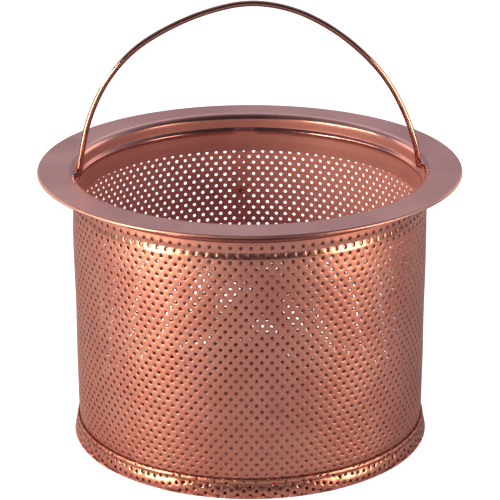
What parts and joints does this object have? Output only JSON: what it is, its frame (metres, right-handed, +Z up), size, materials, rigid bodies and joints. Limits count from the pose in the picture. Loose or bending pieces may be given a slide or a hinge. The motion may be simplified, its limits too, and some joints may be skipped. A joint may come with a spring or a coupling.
{
  "type": "sink basket strainer",
  "caption": "Round lift-out copper sink drain basket: a flat hanging flange and collar, a perforated wall and floor, and a swinging wire bail.",
  "frame": {"origin": "centre of the floor's underside, the lowest plane of the basket", "axes": "+Z up along the basket's axis; the bail's pivots lie along X; the wall's lap seam is near +Y"},
  "size_m": [0.145, 0.145, 0.1545],
  "materials": {
    "copper_rim": "satin spun copper",
    "copper_mesh": "satin perforated copper sheet",
    "copper_rivet": "satin copper",
    "copper_wire": "bright drawn copper wire"
  },
  "bodies": {
    "basket": {"flange_collar": "copper_rim", "perforated_wall": "copper_mesh", "perforated_floor": "copper_mesh", "seam_rivets": "copper_rivet"},
    "bail": {"bail_handle": "copper_wire"}
  },
  "joints": [
    {"name": "bail_swing", "type": "hinge", "parent": "basket", "child": "bail", "pos_m": [0, 0, 0.0948], "axis": [1, 0, 0], "range_deg": [-88, 88]}
  ]
}
